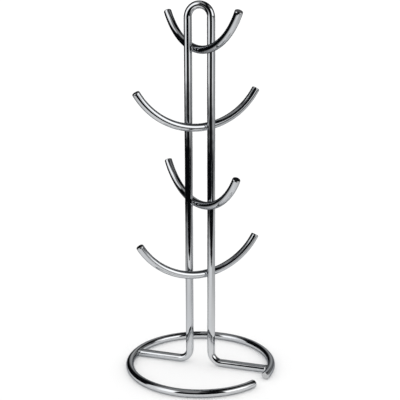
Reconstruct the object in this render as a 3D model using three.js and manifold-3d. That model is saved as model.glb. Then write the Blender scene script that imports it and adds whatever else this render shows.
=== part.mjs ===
// A mug tree made of polished wire: one hairpin-shaped stem, an open base ring and four curved
// arms, each with a hook at both ends, welded where the rods touch.
//
// Units are millimetres. +Z is up, Z = 0 is the table, and the origin is the centre of the base
// ring at table level. The stem's hairpin lies in a vertical plane that runs along X.

import * as THREE from 'three';
import { mergeVertices } from 'three/addons/utils/BufferGeometryUtils.js';
import Module from 'manifold-3d';

// ---- Driving dimensions -------------------------------------------------------------------

const rodRadius = 4.0;          // every rod is the same 8 mm wire
const rodSides = 16;            // facets round a rod; two of them always face straight up and down
const cutEdge = 0.5;            // small break on the edge of each cut rod end

const totalHeight = 377.0;      // table to the top of the stem's loop
const legSpacing = 23.8;        // between the centrelines of the stem's two legs
const footBendRadius = 11.4;    // centreline bend where a leg turns out into its foot
const stemOffset = new THREE.Vector3(-1.3, 4.1, 0);   // the stem's axis from the ring's centre

const ringRadius = 74.5;        // base ring, to the centreline
const ringStart = -10;          // degrees: the ring's end just beyond the right foot
const ringEnd = 334;            // degrees: its other end, across the gap at the front right

const armRadius = 73.0;         // centreline radius of each arm's curve
const armReach = 60.5;          // degrees of curve on each side of an arm's lowest point
const arms = [                  // lowest centreline height, sideways set, and which way it turns
  { name: 'arm_top', height: 330.1, shift: 2.9, turn: -1 },
  { name: 'arm_upper', height: 253.5, shift: -2.4, turn: 1 },
  { name: 'arm_lower', height: 174.7, shift: 0.7, turn: -1 },
  { name: 'arm_bottom', height: 99.9, shift: -1.4, turn: 1 },
];

const weldSetDown = 0.5;        // how far crossing rods are pressed into each other when welded
const weldGap = 0.3;            // clearance kept between neighbouring solids
const weldRadius = 4.3;         // outer radius of the bead round a crossing
const footBeadRadius = 5.0;     // outer radius of the bead round a foot
const footBeadLength = 1.8;     // how far that bead runs back along the foot

const bendFacet = 11.25;        // degrees of a tight bend in one facet
const curveFacet = 4.4;         // degrees of a wide curve in one facet

// ---- Sizes that follow from them ----------------------------------------------------------

const legX = legSpacing / 2;
const loopCentreZ = totalHeight - rodRadius - legX;
const crossingDistance = 2 * rodRadius - weldSetDown;     // between the axes of two crossed rods
const armAngle = Math.asin(crossingDistance / legX);      // so that an arm bears on both legs
const crossingReach = legX * Math.cos(armAngle);          // along the arm, from the stem's axis

const axisX = new THREE.Vector3(1, 0, 0);
const axisY = new THREE.Vector3(0, 1, 0);
const axisZ = new THREE.Vector3(0, 0, 1);
const radians = THREE.MathUtils.degToRad;

// ---- Materials ----------------------------------------------------------------------------

const chrome = new THREE.MeshStandardMaterial({ color: 0xc9ccd1, roughness: 0.06, metalness: 1 });
const weldMetal = new THREE.MeshStandardMaterial({ color: 0xa9abaf, roughness: 0.28, metalness: 1 });

// ---- Centrelines --------------------------------------------------------------------------

// A straight run of a centreline, made in one step.
function straight(from, to) {
  const direction = to.clone().sub(from).normalize();
  return {
    steps: 1,
    point: (f) => from.clone().lerp(to, f),
    tangent: () => direction.clone(),
  };
}

// A circular run about a centre, from one angle to another, in the plane of the directions u and v.
function arc(centre, radius, start, end, u, v, facet) {
  const angle = (f) => start + (end - start) * f;
  const sense = Math.sign(end - start);
  const along = (cosine, sine) => u.clone().multiplyScalar(cosine).addScaledVector(v, sine);
  return {
    steps: Math.ceil(Math.abs(end - start) / radians(facet)),
    point: (f) => along(Math.cos(angle(f)), Math.sin(angle(f))).multiplyScalar(radius).add(centre),
    tangent: (f) => along(-Math.sin(angle(f)), Math.cos(angle(f))).multiplyScalar(sense),
  };
}

// A short straight run on past the end of another, or back before its start.
function stub(run, atEnd, length) {
  const point = run.point(atEnd ? 1 : 0);
  const tangent = run.tangent(atEnd ? 1 : 0);
  const outer = point.clone().addScaledVector(tangent, atEnd ? length : -length);
  return atEnd ? straight(point, outer) : straight(outer, point);
}

// Runs joined end to end. The curve's parameter moves evenly from step to step, so a straight
// leg is a single facet long while the bends stay round.
class RodPath extends THREE.Curve {
  constructor(runs) {
    super();
    this.runs = runs;
    this.steps = runs.reduce((sum, run) => sum + run.steps, 0);
  }

  getUtoTmapping(u) {
    return u;
  }

  locate(t) {
    let step = t * this.steps;
    for (const run of this.runs) {
      if (step <= run.steps + 1e-9) return [run, step / run.steps];
      step -= run.steps;
    }
    return [this.runs.at(-1), 1];
  }

  getPoint(t, target = new THREE.Vector3()) {
    const [run, fraction] = this.locate(t);
    return target.copy(run.point(fraction));
  }

  getTangent(t, target = new THREE.Vector3()) {
    const [run, fraction] = this.locate(t);
    return target.copy(run.tangent(fraction));
  }
}

// The hairpin: foot, bend, leg, top loop, leg, bend, foot. Each foot runs on to `footEnds`,
// inside the base ring's rod, where it is cut to fit.
function stemPath(footEnds) {
  const bendX = legX + footBendRadius;
  const bendZ = rodRadius + footBendRadius;
  const point = (x, z) => new THREE.Vector3(x, 0, z);
  return new RodPath([
    straight(point(footEnds.left, rodRadius), point(-bendX, rodRadius)),
    arc(point(-bendX, bendZ), footBendRadius, -Math.PI / 2, 0, axisX, axisZ, bendFacet),
    straight(point(-legX, bendZ), point(-legX, loopCentreZ)),
    arc(point(0, loopCentreZ), legX, Math.PI, 0, axisX, axisZ, bendFacet),
    straight(point(legX, loopCentreZ), point(legX, bendZ)),
    arc(point(bendX, bendZ), footBendRadius, Math.PI, 1.5 * Math.PI, axisX, axisZ, bendFacet),
    straight(point(bendX, rodRadius), point(footEnds.right, rodRadius)),
  ]);
}

// The base ring in runs that meet at its quarter points, so that its full width is exact.
function ringPath() {
  const centre = new THREE.Vector3(0, 0, rodRadius);
  const quarter = (from, to) => (
    arc(centre, ringRadius, radians(from), radians(to), axisX, axisY, curveFacet));
  const runs = [quarter(ringStart, 0), quarter(0, 90), quarter(90, 180), quarter(180, 270),
    quarter(270, ringEnd)];
  return new RodPath([stub(runs[0], false, cutEdge), ...runs, stub(runs.at(-1), true, cutEdge)]);
}

// An arm in its own X-Z plane, with its lowest point at Z = 0.
function armPath(shift) {
  const centre = new THREE.Vector3(shift, 0, armRadius);
  const down = -Math.PI / 2;
  const reach = radians(armReach);
  const curve = arc(centre, armRadius, down - reach, down + reach, axisX, axisZ, curveFacet);
  return new RodPath([stub(curve, false, cutEdge), curve, stub(curve, true, cutEdge)]);
}

// ---- Rods ---------------------------------------------------------------------------------

// The rod's section: a regular polygon whose flats, not its corners, are at the rod's radius.
function rodSection(radius) {
  const corner = radius / Math.cos(Math.PI / rodSides);
  const points = [];
  for (let i = 0; i < rodSides; i += 1) {
    const angle = ((i + 0.5) / rodSides) * 2 * Math.PI;
    points.push(new THREE.Vector2(corner * Math.cos(angle), corner * Math.sin(angle)));
  }
  return new THREE.Shape(points);
}

// Leaves only position, with shared corners merged, as a closed solid needs.
function weldVertices(geometry) {
  geometry.deleteAttribute('normal');
  geometry.deleteAttribute('uv');
  return mergeVertices(geometry, 1e-4);
}

function rodGeometry(path, radius = rodRadius) {
  const options = { extrudePath: path, steps: path.steps, bevelEnabled: false };
  return weldVertices(new THREE.ExtrudeGeometry(rodSection(radius), options));
}

// Draws in the corners at both cut ends, so that each end face has a broken edge.
function breakCutEdges(geometry, path) {
  const position = geometry.attributes.position;
  const corner = new THREE.Vector3();
  for (const t of [0, 1]) {
    const end = path.getPoint(t);
    const tangent = path.getTangent(t);
    for (let i = 0; i < position.count; i += 1) {
      corner.fromBufferAttribute(position, i).sub(end);
      const onEndFace = Math.abs(corner.dot(tangent)) < 1e-3 && corner.length() < 2 * rodRadius;
      if (!onEndFace) continue;
      corner.setLength(corner.length() - cutEdge).add(end);
      position.setXYZ(i, corner.x, corner.y, corner.z);
    }
  }
  return geometry;
}

// ---- Cutting ------------------------------------------------------------------------------

const wasm = await Module();
wasm.setup();

function toSolid(geometry) {
  const vertProperties = new Float32Array(geometry.attributes.position.array);
  const triVerts = new Uint32Array(geometry.index.array);
  return new wasm.Manifold(new wasm.Mesh({ numProp: 3, vertProperties, triVerts }));
}

function toGeometry(solid) {
  const { vertProperties, triVerts } = solid.getMesh();
  const geometry = new THREE.BufferGeometry();
  geometry.setAttribute('position', new THREE.BufferAttribute(vertProperties, 3));
  geometry.setIndex(new THREE.BufferAttribute(triVerts, 1));
  return geometry;
}

function cutBy(geometry, ...cutters) {
  const solid = cutters.reduce((rest, cutter) => rest.subtract(toSolid(cutter)), toSolid(geometry));
  return toGeometry(solid);
}

// ---- Parts --------------------------------------------------------------------------------

function namedMesh(name, geometry, material) {
  const mesh = new THREE.Mesh(geometry, material);
  mesh.name = name;
  return mesh;
}

// Where the line of the feet crosses the ring's centreline, seen from the stem.
function footEndPoints() {
  const halfChord = Math.sqrt(ringRadius ** 2 - stemOffset.y ** 2);
  return { left: -halfChord - stemOffset.x, right: halfChord - stemOffset.x };
}

function makeRing() {
  const path = ringPath();
  return namedMesh('base_ring', breakCutEdges(rodGeometry(path), path), chrome);
}

function makeStem(footEnds, ringClearance) {
  const rod = rodGeometry(stemPath(footEnds));
  return namedMesh('stem_hairpin', cutBy(rod, ringClearance), chrome);
}

// The bead where a foot butts on the ring: a collar round the foot, flush with the table below.
function makeFootWeld(name, footEnd, stemClearance, ringClearance) {
  const length = rodRadius + footBeadLength;
  const middle = footEnd - (Math.sign(footEnd) * length) / 2;
  const collar = weldVertices(new THREE.CylinderGeometry(footBeadRadius, footBeadRadius, length, 24));
  collar.rotateZ(Math.PI / 2).translate(middle, 0, rodRadius);
  const under = weldVertices(new THREE.BoxGeometry(4 * length, 4 * length, 2 * rodRadius));
  under.translate(middle, 0, weldGap - rodRadius);
  return namedMesh(name, cutBy(collar, stemClearance, ringClearance, under), weldMetal);
}

// The bead squeezed out round the place where an arm crosses a leg, in the arm's own frame.
function makeCrossingWeld(name, side, arm, legClearance, armClearance) {
  const alongArm = side * crossingReach;
  const slope = Math.asin((alongArm - arm.shift) / armRadius);
  const height = armRadius * (1 - Math.cos(slope));
  const acrossArm = -side * arm.turn * (crossingDistance / 2);
  const ball = weldVertices(new THREE.SphereGeometry(weldRadius, 24, 16));
  ball.translate(alongArm, acrossArm, height);
  return namedMesh(name, cutBy(ball, legClearance, armClearance), weldMetal);
}

// One arm with its two welds, in a group turned so that the arm passes behind one leg and in
// front of the other.
function makeArm(arm, stemClearance) {
  const group = new THREE.Group();
  group.position.set(0, 0, arm.height);
  group.rotation.z = arm.turn * armAngle;
  group.updateMatrix();
  const legClearance = stemClearance.clone().applyMatrix4(group.matrix.clone().invert());
  const path = armPath(arm.shift);
  const rod = breakCutEdges(rodGeometry(path), path);
  const armClearance = rodGeometry(path, rodRadius + weldGap);
  group.add(namedMesh(arm.name, cutBy(rod, legClearance), chrome));
  for (const [label, side] of [['left', -1], ['right', 1]]) {
    const name = `weld_${arm.name}_${label}`;
    group.add(makeCrossingWeld(name, side, arm, legClearance, armClearance));
  }
  return group;
}

// The ring stands in the tree's frame; the stem, its arms and all the welds in the stem's own.
function makeMugTree() {
  const footEnds = footEndPoints();
  const clearRadius = rodRadius + weldGap;
  const stemClearance = rodGeometry(stemPath(footEnds), clearRadius);
  const ringClearance = rodGeometry(ringPath(), clearRadius).translate(-stemOffset.x, -stemOffset.y, 0);
  const stemGroup = new THREE.Group();
  stemGroup.position.copy(stemOffset);
  stemGroup.add(makeStem(footEnds, ringClearance));
  for (const side of ['left', 'right']) {
    stemGroup.add(makeFootWeld(`weld_foot_${side}`, footEnds[side], stemClearance, ringClearance));
  }
  for (const arm of arms) stemGroup.add(makeArm(arm, stemClearance));
  const tree = new THREE.Group();
  tree.add(makeRing(), stemGroup);
  return tree;
}

export default makeMugTree();
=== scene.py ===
"""A chromed wire mug tree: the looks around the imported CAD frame.

Each rod of the frame is replaced by a smooth swept mesh on the same centreline, with rounded cut
ends, and each weld by the bead that is squeezed out where two rods meet. Everything is in metres
in the CAD frame: +Z up, the origin at the base ring's centre on the table, -Y to the front.
"""
import math
import random

import bpy
import numpy as np
from mathutils import Euler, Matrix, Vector


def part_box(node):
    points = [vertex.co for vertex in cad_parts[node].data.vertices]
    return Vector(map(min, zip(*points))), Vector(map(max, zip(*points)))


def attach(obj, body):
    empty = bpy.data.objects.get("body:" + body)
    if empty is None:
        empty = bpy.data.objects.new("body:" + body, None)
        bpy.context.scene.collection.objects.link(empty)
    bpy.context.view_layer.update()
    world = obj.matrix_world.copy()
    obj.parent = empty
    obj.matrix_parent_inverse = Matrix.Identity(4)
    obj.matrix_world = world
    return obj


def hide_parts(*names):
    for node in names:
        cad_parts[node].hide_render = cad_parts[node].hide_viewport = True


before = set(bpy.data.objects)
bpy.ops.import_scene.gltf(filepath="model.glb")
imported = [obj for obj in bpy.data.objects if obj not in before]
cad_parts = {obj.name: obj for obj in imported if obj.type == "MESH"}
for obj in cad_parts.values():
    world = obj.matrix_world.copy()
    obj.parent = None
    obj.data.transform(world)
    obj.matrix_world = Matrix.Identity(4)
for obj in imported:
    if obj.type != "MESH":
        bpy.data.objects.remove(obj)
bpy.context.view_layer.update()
MM = 0.001

# ---- Sizes read from the frame --------------------------------------------------------------

RING_LOW, RING_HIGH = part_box("base_ring")
STEM_LOW, STEM_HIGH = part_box("stem_hairpin")
ROD_RADIUS = (RING_HIGH.z - RING_LOW.z) / 2
RING_RADIUS = (RING_HIGH.x - RING_LOW.x) / 2 - ROD_RADIUS
STEM_Y = (STEM_LOW.y + STEM_HIGH.y) / 2
TOP_Z = STEM_HIGH.z

# ---- Sizes of the bent wire that a box doesn't show, as in the CAD --------------------------

STEM_X = -1.3 * MM
LEG_SPACING = 23.8 * MM
FOOT_BEND_RADIUS = 11.4 * MM
RING_START, RING_END = -10.0, 334.0
ARM_RADIUS = 73.0 * MM
ARM_REACH = math.radians(60.5)
CROSSING_DISTANCE = 7.5 * MM
ARMS = {
    "arm_top": {"shift": 2.9 * MM, "turn": -1},
    "arm_upper": {"shift": -2.4 * MM, "turn": 1},
    "arm_lower": {"shift": 0.7 * MM, "turn": -1},
    "arm_bottom": {"shift": -1.4 * MM, "turn": 1},
}

LEG_X = LEG_SPACING / 2
ARM_ANGLE = math.asin(CROSSING_DISTANCE / LEG_X)
CROSSING_REACH = LEG_X * math.cos(ARM_ANGLE)
STEM_AXIS = np.array((STEM_X, STEM_Y, 0))
X, Y, Z = np.eye(3)

# ---- Fineness of the swept meshes -----------------------------------------------------------

ROD_SEGMENTS = 56
LINE_STEP = 1.5 * MM
ARC_STEP = math.radians(2.5)
WIDE_ARC_STEP = math.radians(1.2)
EDGE_RADIUS = 1.1 * MM
EDGE_STEPS = 7
FLAT_RINGS = (0.3, 0.6, 0.85)

# ---- How far a real bent wire is from a perfect tube ----------------------------------------

# A bend squeezes the rod by this much of (rod radius / bend radius) squared.
FLATTENING = 0.35
BEND_RUN_IN = 3 * MM
# The centreline sways this far, over these two wavelengths, and not near a cut end.
WANDER = 0.05 * MM
SWAY_LENGTH = 83 * MM
DRIFT_LENGTH = 61 * MM
HELD_AT_END = 12 * MM
# The rollers that straighten coiled wire leave a faint helix.
STRAIGHTENER_PITCH = 11.0 * MM
STRAIGHTENER_DEPTH = 0.004 * MM

# ---- Welds and wear -------------------------------------------------------------------------

BEAD_STEPS = 44
BEAD_SIDES = 12
CROSSING_BEAD_REACH = 2.95 * MM
CROSSING_BEAD_LUMP = 0.16 * MM
CROSSING_BEAD_FILL = 0.62
CROSSING_BEAD_OVERLAP = 0.10 * MM
FOOT_OVERLAP = 0.6 * MM
# The collar of weld metal at a foot: (mm outwards from where it meets the ring, mm radius).
FOOT_BEAD_PROFILE = (
    (-1.7, 3.6), (-1.5, 4.02), (-1.0, 4.22), (-0.3, 4.38), (0.4, 4.36),
    (1.1, 4.12), (1.8, 3.7), (2.4, 3.1), (2.8, 2.2),
)
FOOT_BEAD_CLEARANCE = 0.1 * MM
# Heights over the table where its wear fades out.
TABLE_WEAR = (0.15 * MM, 0.9 * MM)
# Distances from the stem's axis where the wear of the mug handles starts and stops.
HANDLE_WEAR_START = (10 * MM, 16 * MM)
HANDLE_WEAR_STOP = (26 * MM, 44 * MM)
# How far up a surface faces before a handle rubs it.
HANDLE_WEAR_FACING = (0.55, 0.95)
SEEDS = {"stem": 11, "ring": 12, "arm": 20, "crossing": 40, "foot": 60}


# ---- Centrelines: a pen that draws lines and arcs in a plane ---------------------------------

class Pen:
    """Draws a centreline in a plane, keeping each station's place, heading, bend and distance."""

    def __init__(self, start, heading):
        self.place = np.array(start, float)
        self.heading = heading
        self.travelled = 0.0
        self.stations = [(*self.place, heading, 0.0, 0.0)]

    def _note(self, bend):
        self.stations.append((*self.place, self.heading, bend, self.travelled))

    def line(self, length):
        steps = max(1, math.ceil(length / LINE_STEP))
        for _ in range(steps):
            forward = np.array((math.cos(self.heading), math.sin(self.heading)))
            self.place = self.place + forward * length / steps
            self.travelled += length / steps
            self._note(0.0)
        return self

    def arc(self, radius, angle, step=ARC_STEP):
        """Turns through an angle, to the left if it is positive."""
        steps = math.ceil(abs(angle) / step)
        turn = angle / steps
        side = math.copysign(1, angle)
        left = np.array((-math.sin(self.heading), math.cos(self.heading)))
        centre = self.place + left * side * radius
        for _ in range(steps):
            self.heading += turn
            left = np.array((-math.sin(self.heading), math.cos(self.heading)))
            self.place = centre - left * side * radius
            self.travelled += radius * abs(turn)
            self._note(side / radius)
        return self


def stem_stations():
    """Foot, bend, leg, loop, leg, bend and foot, in the stem's X-Z plane."""
    half_chord = math.sqrt((RING_RADIUS - ROD_RADIUS) ** 2 - STEM_Y ** 2) + FOOT_OVERLAP
    bend_x = LEG_X + FOOT_BEND_RADIUS
    leg = TOP_Z - ROD_RADIUS - LEG_X - (ROD_RADIUS + FOOT_BEND_RADIUS)
    pen = Pen((-half_chord - STEM_X, ROD_RADIUS), 0.0)
    pen.line(half_chord + STEM_X - bend_x)
    pen.arc(FOOT_BEND_RADIUS, math.pi / 2)
    pen.line(leg)
    pen.arc(LEG_X, -math.pi)
    pen.line(leg)
    pen.arc(FOOT_BEND_RADIUS, math.pi / 2)
    pen.line(half_chord - STEM_X - bend_x)
    return pen.stations


def ring_stations():
    start, end = math.radians(RING_START), math.radians(RING_END)
    pen = Pen((RING_RADIUS * math.cos(start), RING_RADIUS * math.sin(start)), start + math.pi / 2)
    return pen.arc(RING_RADIUS, end - start, WIDE_ARC_STEP).stations


def arm_stations(shift):
    """An arm in its own plane, with its lowest point at height 0."""
    start = (shift - ARM_RADIUS * math.sin(ARM_REACH), ARM_RADIUS * (1 - math.cos(ARM_REACH)))
    return Pen(start, -ARM_REACH).arc(ARM_RADIUS, 2 * ARM_REACH, WIDE_ARC_STEP).stations


# ---- Meshes ---------------------------------------------------------------------------------

def new_object(name, vertices, faces):
    mesh = bpy.data.meshes.new(name)
    mesh.from_pydata([tuple(v) for v in vertices], [], faces)
    mesh.validate()
    mesh.polygons.foreach_set("use_smooth", [True] * len(mesh.polygons))
    mesh.update()
    piece = bpy.data.objects.new(name, mesh)
    bpy.context.scene.collection.objects.link(piece)
    return piece


def closed_tube_faces(rings, segments):
    """Quads between the rings and a fan to a pole at each end; the poles are the last vertices."""
    faces = []
    for i in range(rings - 1):
        for j in range(segments):
            k = (j + 1) % segments
            a, b = i * segments, (i + 1) * segments
            faces.append((a + j, a + k, b + k, b + j))
    start_pole, end_pole = rings * segments, rings * segments + 1
    tail = (rings - 1) * segments
    for j in range(segments):
        k = (j + 1) % segments
        faces.append((start_pole, k, j))
        faces.append((end_pole, tail + j, tail + k))
    return faces


def end_profile():
    """(distance back from the end, share of the radius taken off) down a rounded cut edge."""
    profile = []
    for i in range(1, EDGE_STEPS + 1):
        angle = (math.pi / 2) * i / EDGE_STEPS
        profile.append((EDGE_RADIUS * (1 - math.sin(angle)), EDGE_RADIUS * (1 - math.cos(angle))))
    return profile


def store(piece, name, kind, values):
    attribute = piece.data.attributes.new(name, kind, "POINT")
    field = "vector" if kind == "FLOAT_VECTOR" else "value"
    attribute.data.foreach_set(field, np.asarray(values, np.float32).ravel())


def softened(values, travelled, reach):
    """The mean of the values within a distance along the rod, so that a bend starts gradually."""
    values, travelled = np.array(values), np.array(travelled)
    return [values[abs(travelled - t) <= reach].mean() for t in travelled]


def smoothstep(low, high, value):
    share = np.clip((value - low) / (high - low), 0, 1)
    return share * share * (3 - 2 * share)


def sweep(name, stations, origin, across, up, seed):
    """A round rod along the stations, which lie in the plane of `across` and `up` at `origin`.

    Its vertices keep two attributes: `straight`, the place each would have if the rod were
    straight along Z, and `end`, the distance to the nearer cut end.
    """
    rng = random.Random(seed)
    side = np.cross(across, up)
    around = np.linspace(0, 2 * np.pi, ROD_SEGMENTS, endpoint=False)
    travelled = [station[4] for station in stations]
    bends = softened([station[3] for station in stations], travelled, BEND_RUN_IN)
    length = travelled[-1]
    phases = [rng.uniform(0, 2 * math.pi) for _ in range(5)]
    hand = rng.choice((-1, 1))
    rings, straight, ends = [], [], []

    def add_ring(i, radius, slide=0.0):
        x, y, heading, _bend, along = stations[i]
        along = along + slide
        forward = across * math.cos(heading) + up * math.sin(heading)
        left = -across * math.sin(heading) + up * math.cos(heading)
        free = smoothstep(0, HELD_AT_END, min(along, length - along))
        sway = WANDER * free * math.sin(2 * math.pi * along / SWAY_LENGTH + phases[0])
        drift = WANDER * free * math.sin(2 * math.pi * along / DRIFT_LENGTH + phases[1])
        centre = origin + across * x + up * y + forward * slide + left * sway + side * drift
        flat = FLATTENING * (ROD_RADIUS * bends[i]) ** 2
        turns = 2 * math.pi * along / STRAIGHTENER_PITCH
        helix = np.sin(turns + hand * around + phases[2])
        helix = helix + 0.6 * np.sin(1.37 * turns + 2 * around + phases[3])
        helix = helix + 0.5 * np.sin(0.43 * turns - 2 * around + phases[4])
        bumped = radius + STRAIGHTENER_DEPTH * helix * (radius / ROD_RADIUS) * free
        ring = np.outer(bumped * np.cos(around) * (1 - flat), left)
        ring = ring + np.outer(bumped * np.sin(around) * (1 + flat / 2), side)
        rings.append(centre + ring)
        place = np.column_stack((radius * np.cos(around), radius * np.sin(around)))
        straight.append(np.column_stack((place, np.full(ROD_SEGMENTS, along))))
        ends.append(np.full(ROD_SEGMENTS, max(0.0, min(along, length - along))))

    last = len(stations) - 1
    for share in FLAT_RINGS:
        add_ring(0, share * (ROD_RADIUS - EDGE_RADIUS))
    for back, taken in reversed(end_profile()):
        add_ring(0, ROD_RADIUS - taken, back)
    for i in range(1, last):
        add_ring(i, ROD_RADIUS)
    for back, taken in end_profile():
        add_ring(last, ROD_RADIUS - taken, -back)
    for share in reversed(FLAT_RINGS):
        add_ring(last, share * (ROD_RADIUS - EDGE_RADIUS))

    poles = [rings[0].mean(0), rings[-1].mean(0)]
    vertices = np.concatenate(rings + [poles])
    piece = new_object(name, vertices, closed_tube_faces(len(rings), ROD_SEGMENTS))
    pole_marks = [(0, 0, 0), (0, 0, length)]
    store(piece, "straight", "FLOAT_VECTOR", np.concatenate(straight + [pole_marks]))
    store(piece, "end", "FLOAT", np.concatenate(ends + [(0, 0)]))
    return piece


def vertex_places(piece):
    places = np.zeros(len(piece.data.vertices) * 3)
    piece.data.vertices.foreach_get("co", places)
    return places.reshape(-1, 3)


def vertex_normals(piece):
    return np.array([tuple(vertex.normal) for vertex in piece.data.vertices])


def mark_table_wear(piece):
    """`rub` is 1 where the piece stands on the table."""
    places = vertex_places(piece)
    store(piece, "rub", "FLOAT", 1 - smoothstep(*TABLE_WEAR, places[:, 2]))


def mark_handle_wear(piece):
    """`rub` is 1 on top of an arm, each side of the stem, where mug handles slide and rest."""
    places = vertex_places(piece)
    out = np.hypot(places[:, 0] - STEM_AXIS[0], places[:, 1] - STEM_AXIS[1])
    hollow = smoothstep(*HANDLE_WEAR_START, out) * (1 - smoothstep(*HANDLE_WEAR_STOP, out))
    facing_up = smoothstep(*HANDLE_WEAR_FACING, vertex_normals(piece)[:, 2])
    store(piece, "rub", "FLOAT", hollow * facing_up)


def crossing_bead(name, node, side, seed):
    """The flash squeezed out in the crevice round the contact between an arm and a leg."""
    rng = random.Random(seed)
    arm = ARMS[node]
    angle = arm["turn"] * ARM_ANGLE
    along = np.array((math.cos(angle), math.sin(angle), 0))
    to_arm = np.cross(Z, along) * side * arm["turn"]
    slope = math.asin((side * CROSSING_REACH - arm["shift"]) / ARM_RADIUS)
    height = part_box(node)[0].z + ROD_RADIUS + ARM_RADIUS * (1 - math.cos(slope))
    contact = STEM_AXIS + along * side * CROSSING_REACH + Z * height
    contact = contact - to_arm * CROSSING_DISTANCE / 2
    phases = [rng.uniform(0, 2 * math.pi) for _ in range(4)]
    vertices = []
    for i in range(BEAD_STEPS):
        theta = 2 * math.pi * i / BEAD_STEPS
        lumps = 0.6 * math.sin(3 * theta + phases[0]) + 0.4 * math.sin(7 * theta + phases[1])
        reach = CROSSING_BEAD_REACH + CROSSING_BEAD_LUMP * lumps
        p, q = reach * math.cos(theta), reach * math.sin(theta)
        across_arm = q * math.cos(slope) - p * math.sin(slope)
        leg_face = math.sqrt(ROD_RADIUS ** 2 - p ** 2) - CROSSING_DISTANCE / 2
        arm_face = CROSSING_DISTANCE / 2 - math.sqrt(ROD_RADIUS ** 2 - across_arm ** 2)
        ripple = 0.05 * math.sin(5 * theta + phases[2]) + 0.03 * math.sin(11 * theta + phases[3])
        tube = CROSSING_BEAD_FILL * (arm_face - leg_face) * (1 + ripple) + CROSSING_BEAD_OVERLAP
        outward = along * math.cos(theta) + Z * math.sin(theta)
        centre = contact + outward * reach + to_arm * (leg_face + arm_face) / 2
        for j in range(BEAD_SIDES):
            psi = 2 * math.pi * j / BEAD_SIDES
            vertices.append(centre + tube * (math.cos(psi) * outward + math.sin(psi) * to_arm))
    faces = []
    flip = side * arm["turn"] > 0
    for i in range(BEAD_STEPS):
        for j in range(BEAD_SIDES):
            a, b = i * BEAD_SIDES, (i + 1) % BEAD_STEPS * BEAD_SIDES
            k = (j + 1) % BEAD_SIDES
            face = (a + j, b + j, b + k, a + k)
            faces.append(face[::-1] if flip else face)
    return new_object(name, vertices, faces)


def foot_bead(name, side, seed):
    """The collar of weld metal between a foot's end and the ring, clear of the table below."""
    rng = random.Random(seed)
    half_chord = math.sqrt((RING_RADIUS - ROD_RADIUS) ** 2 - STEM_Y ** 2)
    around = np.linspace(0, 2 * np.pi, BEAD_STEPS, endpoint=False)
    phases = [rng.uniform(0, 2 * math.pi) for _ in range(4)]
    rings = []
    for step, radius in FOOT_BEAD_PROFILE:
        lumps = 0.06 * np.sin(3 * around + phases[0]) + 0.05 * np.sin(7 * around + phases[1])
        slant = 0.25 * np.sin(2 * around + phases[2]) + 0.12 * np.sin(5 * around + phases[3])
        grown = (radius + lumps * smoothstep(-1.7, -1.0, step)) * MM
        x = side * (half_chord + (step + slant * smoothstep(2.4, -1.7, step)) * MM)
        y = STEM_Y + grown * np.sin(around)
        z = np.maximum(ROD_RADIUS + grown * np.cos(around), FOOT_BEAD_CLEARANCE)
        rings.append(np.column_stack((x, y, z)))
    vertices = np.concatenate(rings + [[rings[0].mean(0), rings[-1].mean(0)]])
    faces = closed_tube_faces(len(rings), BEAD_STEPS)
    if side > 0:
        faces = [face[::-1] for face in faces]
    return new_object(name, vertices, faces)


def place_on_frame(piece, node, material):
    piece.data.materials.append(material)
    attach(piece, "root")
    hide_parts(node)
    return piece


# ---- Materials ------------------------------------------------------------------------------

class Tree:
    """Short calls for building a node tree."""

    def __init__(self, tree):
        self.tree = tree

    def add(self, kind, values=(), **settings):
        """A node with its settings, and its inputs by position or name; a socket is linked."""
        node = self.tree.nodes.new(kind)
        for name, value in settings.items():
            setattr(node, name, value)
        pairs = values.items() if isinstance(values, dict) else enumerate(values)
        for key, value in pairs:
            if isinstance(value, bpy.types.NodeSocket):
                self.link(value, node.inputs[key])
            elif value is not None:
                node.inputs[key].default_value = value
        return node

    def link(self, output, socket):
        self.tree.links.new(output, socket)

    def math(self, operation, *values):
        return self.add("ShaderNodeMath", values, operation=operation).outputs[0]

    def ramp(self, value, low, high, start=0.0, end=1.0):
        """Value smoothly mapped from low..high to start..end, and held outside."""
        values = (value, low, high, start, end)
        return self.add("ShaderNodeMapRange", values, interpolation_type="SMOOTHSTEP").outputs[0]

    def noise(self, vector, scale, detail=3.0, stretch=None):
        """Noise with features of about 1/scale metres; stretch scales the vector's parts."""
        if stretch is not None:
            inputs = {"Vector": vector, "Scale": stretch}
            vector = self.add("ShaderNodeMapping", inputs).outputs[0]
        inputs = {"Vector": vector, "Scale": scale, "Detail": detail}
        return self.add("ShaderNodeTexNoise", inputs).outputs[0]

    def mix(self, factor, first, second):
        """Two colours mixed; inputs 6 and 7 are the node's colours A and B."""
        node = self.add("ShaderNodeMix", {"Factor": factor}, data_type="RGBA")
        for socket, value in ((node.inputs[6], first), (node.inputs[7], second)):
            if isinstance(value, bpy.types.NodeSocket):
                self.link(value, socket)
            else:
                socket.default_value = (*value, 1)
        return node.outputs[2]

    def attribute(self, name, output):
        return self.add("ShaderNodeAttribute", attribute_name=name).outputs[output]


CHROME_LIGHT = (0.625, 0.635, 0.645)
CHROME_DEEP = (0.560, 0.575, 0.595)
CHROME_FROSTED = (0.50, 0.50, 0.50)
# Darkens the reflection where a surface is seen nearly edge on.
EDGE_TINT = (0.25, 0.26, 0.28, 1)

# Noise scales, in features a metre.
PLATE_SCALE = 38.0
DRAWING_LINE_SCALE = 5200.0
SMEAR_SCALE = 70.0
RIPPLE_SCALE = 95.0
GRIT_SCALE = 2600.0
SCRATCH_SCALE = 420.0
WELD_LUMP_SCALE = 900.0
WELD_GRAIN_SCALE = 4200.0

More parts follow.
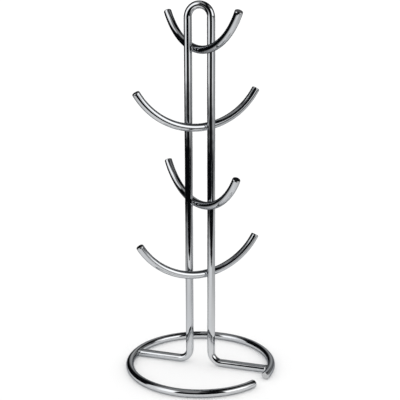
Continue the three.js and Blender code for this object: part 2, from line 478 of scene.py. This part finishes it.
# How deep the bumps are, and what each flaw adds to the roughness.
LINE_BUMP = 0.0015 * MM
RIPPLE_BUMP = 0.018 * MM
WELD_GRAIN_BUMP = 0.01 * MM
WELD_LUMP_BUMP = 0.08 * MM
LINE_ROUGHNESS = 0.015
WORN_ROUGHNESS = 0.16
FROSTED_ROUGHNESS = 0.14
WELD_ROUGHNESS = 0.09
WELD_GRAIN_ROUGHNESS = 0.14
# Distances from a cut end where its frosting fades out.
FROSTED_END = (0.2 * MM, 1.3 * MM)


def new_material(name):
    """A metal material, its tree and its shader."""
    material = bpy.data.materials.new(name)
    material.use_nodes = True
    shader = material.node_tree.nodes["Principled BSDF"]
    shader.inputs["Metallic"].default_value = 1.0
    shader.inputs["Specular Tint"].default_value = EDGE_TINT
    return material, Tree(material.node_tree), shader


def chrome_material(name, polish, smudge, scratch):
    """Bright chrome on drawn wire: faint drawing lines, smudges, frosted ends and worn places.

    polish is the roughness where it is clean, smudge how much finger marks add, and scratch how
    deep the lines are where something rubs.
    """
    material, tree, shader = new_material(name)
    place = tree.attribute("straight", "Vector")
    rub = tree.attribute("rub", "Fac")
    end = tree.attribute("end", "Fac")
    thickness = tree.noise(place, PLATE_SCALE, 2.0, (1, 1, 0.35))
    lines = tree.noise(place, DRAWING_LINE_SCALE, 2.0, (1, 1, 0.02))
    smears = tree.ramp(tree.noise(place, SMEAR_SCALE, 4.0, (1, 1, 0.6)), 0.52, 0.72)
    ripple = tree.noise(place, RIPPLE_SCALE, 1.0, (1, 1, 0.8))
    cut = tree.ramp(end, *FROSTED_END, 1.0, 0.0)
    grit = tree.noise(place, GRIT_SCALE, 3.0)
    scratches = tree.noise(place, SCRATCH_SCALE, 3.0, (1, 1, 0.3))
    worn = tree.math("MULTIPLY", rub, tree.ramp(scratches, 0.38, 0.6))

    colour = tree.mix(tree.ramp(thickness, 0.35, 0.65), CHROME_DEEP, CHROME_LIGHT)
    frosted = tree.math("MULTIPLY", cut, tree.ramp(grit, 0.3, 0.7, 0.3, 0.9))
    colour = tree.mix(frosted, colour, CHROME_FROSTED)
    tree.link(colour, shader.inputs["Base Color"])

    rough = tree.math("MULTIPLY_ADD", smears, smudge, polish)
    rough = tree.math("MULTIPLY_ADD", tree.ramp(lines, 0.3, 0.7), LINE_ROUGHNESS, rough)
    rough = tree.math("MULTIPLY_ADD", worn, WORN_ROUGHNESS, rough)
    rough = tree.math("MULTIPLY_ADD", frosted, FROSTED_ROUGHNESS, rough)
    tree.link(rough, shader.inputs["Roughness"])

    line_depth = tree.math("MULTIPLY_ADD", worn, scratch, 0.25)
    fine = tree.math("MULTIPLY", lines, line_depth)
    fine = tree.math("MULTIPLY_ADD", tree.math("MULTIPLY", grit, cut), 3.0, fine)
    bump = tree.add("ShaderNodeBump", {"Strength": 1.0, "Distance": LINE_BUMP, "Height": fine})
    wave = tree.add("ShaderNodeBump", {
        "Strength": 1.0, "Distance": RIPPLE_BUMP, "Height": ripple, "Normal": bump.outputs[0]})
    tree.link(wave.outputs[0], shader.inputs["Normal"])
    return material


def weld_material(name):
    """Chrome over a lumpy, grainy bead."""
    material, tree, shader = new_material(name)
    place = tree.add("ShaderNodeTexCoord").outputs["Object"]
    lumps = tree.noise(place, WELD_LUMP_SCALE, 2.0)
    grain = tree.noise(place, WELD_GRAIN_SCALE, 3.0)
    colour = tree.mix(tree.ramp(lumps, 0.35, 0.65), CHROME_DEEP, CHROME_LIGHT)
    colour = tree.mix(tree.ramp(grain, 0.55, 0.75), colour, CHROME_FROSTED)
    tree.link(colour, shader.inputs["Base Color"])
    grainy = tree.ramp(grain, 0.3, 0.7)
    rough = tree.math("MULTIPLY_ADD", grainy, WELD_GRAIN_ROUGHNESS, WELD_ROUGHNESS)
    tree.link(rough, shader.inputs["Roughness"])
    fine = tree.add("ShaderNodeBump", {
        "Strength": 0.6, "Distance": WELD_GRAIN_BUMP, "Height": grain})
    coarse = tree.add("ShaderNodeBump", {
        "Strength": 0.8, "Distance": WELD_LUMP_BUMP, "Height": lumps, "Normal": fine.outputs[0]})
    tree.link(coarse.outputs[0], shader.inputs["Normal"])
    return material


stem_chrome = chrome_material("chrome_stem", 0.02, 0.025, 0.6)
ring_chrome = chrome_material("chrome_ring", 0.03, 0.035, 2.2)
arm_chrome = chrome_material("chrome_arms", 0.02, 0.035, 1.6)
weld_chrome = weld_material("weld_chrome")

# ---- Pieces ---------------------------------------------------------------------------------

stem = sweep("stem_hairpin_rod", stem_stations(), STEM_AXIS, X, Z, SEEDS["stem"])
mark_table_wear(stem)
place_on_frame(stem, "stem_hairpin", stem_chrome)

ring = sweep("base_ring_rod", ring_stations(), ROD_RADIUS * Z, X, Y, SEEDS["ring"])
mark_table_wear(ring)
place_on_frame(ring, "base_ring", ring_chrome)

for number, (node, arm) in enumerate(ARMS.items()):
    angle = arm["turn"] * ARM_ANGLE
    along = np.array((math.cos(angle), math.sin(angle), 0))
    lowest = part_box(node)[0].z + ROD_RADIUS
    origin = STEM_AXIS + Z * lowest
    seed = SEEDS["arm"] + number
    rod = sweep(node + "_rod", arm_stations(arm["shift"]), origin, along, Z, seed)
    mark_handle_wear(rod)
    place_on_frame(rod, node, arm_chrome)
    for label, side in (("left", -1), ("right", 1)):
        weld = f"weld_{node}_{label}"
        seed = SEEDS["crossing"] + 2 * number + side
        bead = crossing_bead(weld + "_bead", node, side, seed)
        place_on_frame(bead, weld, weld_chrome)

for label, side in (("left", -1), ("right", 1)):
    bead = foot_bead(f"weld_foot_{label}_bead", side, SEEDS["foot"] + side)
    place_on_frame(bead, f"weld_foot_{label}", weld_chrome)

# ---- Camera ---------------------------------------------------------------------------------

CAMERA_DISTANCE = 827.5 * MM
CAMERA_HEIGHT = 372.5 * MM
CAMERA_AZIMUTH = math.radians(18.24)
CAMERA_PITCH = math.radians(13.15)
CAMERA_ROLL = math.radians(-0.196)
SENSOR_WIDTH_MM = 36.0
LENS_MM = 75.16
TOWARDS_CAMERA = np.array((math.sin(CAMERA_AZIMUTH), -math.cos(CAMERA_AZIMUTH), 0))
CAMERA_RIGHT = np.array((math.cos(CAMERA_AZIMUTH), math.sin(CAMERA_AZIMUTH), 0))

camera_data = bpy.data.cameras.new("camera")
camera_data.sensor_width = SENSOR_WIDTH_MM
camera_data.lens = LENS_MM
camera = bpy.data.objects.new("camera", camera_data)
bpy.context.scene.collection.objects.link(camera)
camera.location = Vector(STEM_AXIS + TOWARDS_CAMERA * CAMERA_DISTANCE + Z * CAMERA_HEIGHT)
aim = Euler((math.pi / 2 - CAMERA_PITCH, 0, CAMERA_AZIMUTH)).to_matrix()
camera.rotation_euler = (aim @ Euler((0, 0, CAMERA_ROLL)).to_matrix()).to_euler()
bpy.context.scene.camera = camera

# ---- Table and floor ------------------------------------------------------------------------

# The camera sees the endless pale floor. Only the chrome sees the table, which ends in front of it.
# A corner is (right, towards the camera), in metres from the stem.
PALE = (0.96, 0.96, 0.96, 1)
FLOOR_CORNERS = ((-30, 30), (30, 30), (30, -30), (-30, -30))
TABLE_CORNERS = ((-0.65, 0.42), (1.6, 0.25), (1.6, -1.6), (-0.45, -1.1))
# The table's painted shade away from the pools. It is painted 0.22 darker from 0.6 m left of the
# stem outwards, and no darker from 0.25 m left of it inwards.
TABLE_PAINTED_DIM = 0.35
TABLE_LEFT_PAINTED_SHADE = (-0.6, -0.25, -0.22, 0.0)
# Each soft pool of light painted into the table's colour: its centre, its reach and what it adds to
# the painted shade.
TABLE_PAINTED_LIGHT_POOLS = (
    ((-0.13, 0.17), (0.58, 0.46), 0.55),
    ((0.45, -0.20), (0.70, 0.60), 0.36),
    ((0.02, 0.37), (0.42, 0.18), 0.32),
    ((0.00, -0.06), (0.30, 0.26), 0.24),
)


def place_on_floor(right, towards):
    place = STEM_AXIS + CAMERA_RIGHT * right + TOWARDS_CAMERA * towards
    return (place[0], place[1], 0.0)


def flat_stage(name, corners, material):
    """A flat piece of the stage between its corners."""
    mesh = bpy.data.meshes.new(name)
    mesh.from_pydata([place_on_floor(*corner) for corner in corners], [], [(0, 1, 2, 3)])
    mesh.materials.append(material)
    piece = bpy.data.objects.new(name, mesh)
    bpy.context.scene.collection.objects.link(piece)
    return piece


def diffuse_material(name):
    """A matt material's tree and its diffuse shader."""
    material = bpy.data.materials.new(name)
    material.use_nodes = True
    tree = Tree(material.node_tree)
    diffuse = tree.add("ShaderNodeBsdfDiffuse", {"Color": PALE})
    output = material.node_tree.nodes["Material Output"]
    tree.link(diffuse.outputs[0], output.inputs["Surface"])
    return material, tree, diffuse


def painted_light_pool(tree, right, towards, centre, reach):
    """A soft round patch of light painted into the table's colour, 1 in its centre and 0 at its
    reach.
    """
    x = tree.math("DIVIDE", tree.math("SUBTRACT", right, centre[0]), reach[0])
    y = tree.math("DIVIDE", tree.math("SUBTRACT", towards, centre[1]), reach[1])
    squares = tree.math("MULTIPLY_ADD", x, x, tree.math("MULTIPLY", y, y))
    return tree.ramp(tree.math("SQRT", squares), 0.0, 1.0, 1.0, 0.0)


def mirrored_table_material():
    """The table as the chrome sees it, with light and shade painted into its colour: pools of light
    near the tree, dimmer away from them.
    """
    material, tree, diffuse = diffuse_material("mirrored_table_painted_light")
    place = tree.add("ShaderNodeTexCoord").outputs["Object"]
    turned = tree.add("ShaderNodeVectorRotate", {"Vector": place, "Angle": -CAMERA_AZIMUTH})
    parts = tree.add("ShaderNodeSeparateXYZ", (turned.outputs[0],)).outputs
    towards = tree.math("MULTIPLY", parts["Y"], -1.0)
    # Painted shade in the table's grey: dim away from the pools and darker to the left of the stem.
    shade = tree.math("ADD", TABLE_PAINTED_DIM, tree.ramp(parts["X"], *TABLE_LEFT_PAINTED_SHADE))
    # Painted pools of light, added to the table's grey.
    for centre, reach, strength in TABLE_PAINTED_LIGHT_POOLS:
        patch = painted_light_pool(tree, parts["X"], towards, centre, reach)
        shade = tree.math("MULTIPLY_ADD", patch, strength, shade)
    grey = tree.add("ShaderNodeCombineColor", (shade, shade, shade))
    tree.link(grey.outputs[0], diffuse.inputs["Color"])
    return material


floor = flat_stage("floor", FLOOR_CORNERS, diffuse_material("pale_floor")[0])
floor.visible_glossy = False
floor.visible_diffuse = False
floor.visible_shadow = False
table = flat_stage("table", TABLE_CORNERS, mirrored_table_material())
table.visible_camera = False
table.visible_diffuse = False
table.visible_shadow = False

# ---- Studio ---------------------------------------------------------------------------------

# What the chrome mirrors: soft boxes left and right of the camera, and a dark room round them.
# Directions are in degrees from the tree: azimuth 0 is towards where the camera is set, 90 to its
# right and 180 away from it, and elevation 90 is straight up.
# Each panel: its left, right, lower and upper edge, each with a softness, and its brightness.
PANELS = (
    # the box on the left
    ((-86, 4), (-66, 8), (0, 3), (54, 6), 1.08),
    ((-90, 4), (-66, 8), (-6.4, 3.2), (0, 3), 1.20),
    ((-66, 8), (-38, 3.5), (-1, 3), (53, 5), 1.66),
    ((-66, 8), (-40, 6), (-6.6, 3.5), (-1, 3), 1.00),
    # the box on the right
    ((37, 3), (74, 3), (5, 2.5), (41, 4), 1.80),
    ((74, 3), (88, 4), (8, 4), (38, 5), 1.25),
    ((25, 2), (57, 4), (-7, 4.2), (1.5, 1.5), 1.20),
    ((57, 4), (90, 3), (-9.5, 1.5), (1.5, 1.5), 0.52),
    # dim walls beyond the tree
    ((95, 6), (185, 6), (-25, 5), (0, 5), 0.45),
    ((92, 8), (158, 8), (0, 8), (28, 8), 0.22),
    ((158, 8), (190, 8), (0, 10), (46, 10), 0.55),
    ((-190, 6), (-168, 6), (-20, 10), (50, 10), 0.27),
    # dim patches overhead
    ((-40, 5), (-4, 5), (42, 6), (72, 6), 0.28),
    ((40, 8), (110, 8), (44, 6), (60, 6), 0.25),
    ((-190, 10), (-70, 10), (58, 10), (110, 10), 0.34),
    ((-70, 10), (15, 10), (60, 10), (110, 10), 0.22),
)
# The dark room's own light, and the even light that the camera and the floor get instead.
ROOM = (0.0035, 0.0040, 0.0050)
DOME = 1.09


def studio_world():
    """A world that glossy rays see as the room with its panels, and all others as an even dome."""
    world = bpy.data.worlds.new("studio")
    world.use_nodes = True
    tree = Tree(world.node_tree)
    direction = tree.add("ShaderNodeTexCoord").outputs["Generated"]
    turned = tree.add("ShaderNodeVectorRotate", {"Vector": direction, "Angle": -CAMERA_AZIMUTH})
    parts = tree.add("ShaderNodeSeparateXYZ", (turned.outputs[0],)).outputs
    degrees = math.degrees(1)
    towards = tree.math("MULTIPLY", parts["Y"], -1.0)
    azimuth = tree.math("MULTIPLY", tree.math("ARCTAN2", parts["X"], towards), degrees)
    elevation = tree.math("MULTIPLY", tree.math("ARCSINE", parts["Z"]), degrees)

    def within(angle, low_edge, high_edge):
        low, low_soft = low_edge
        high, high_soft = high_edge
        rise = tree.ramp(angle, low - low_soft, low + low_soft)
        fall = tree.ramp(angle, high - high_soft, high + high_soft, 1.0, 0.0)
        return tree.math("MULTIPLY", rise, fall)

    brightness = 0.0
    for left, right, lower, upper, strength in PANELS:
        across = within(azimuth, left, right)
        upward = within(elevation, lower, upper)
        panel = tree.math("MULTIPLY", across, upward)
        brightness = tree.math("MULTIPLY_ADD", panel, strength, brightness)
    light = tree.add("ShaderNodeCombineColor", (brightness, brightness, brightness))
    room = tree.add("ShaderNodeMix", data_type="RGBA", blend_type="ADD")
    room.inputs["Factor"].default_value = 1.0
    room.inputs[6].default_value = (*ROOM, 1)
    tree.link(light.outputs[0], room.inputs[7])
    mirrored = tree.add("ShaderNodeLightPath").outputs["Is Glossy Ray"]
    seen = tree.mix(mirrored, (DOME, DOME, DOME), room.outputs[2])
    tree.link(seen, world.node_tree.nodes["Background"].inputs["Color"])
    return world


bpy.context.scene.world = studio_world()
bpy.context.scene.view_settings.view_transform = "Standard"
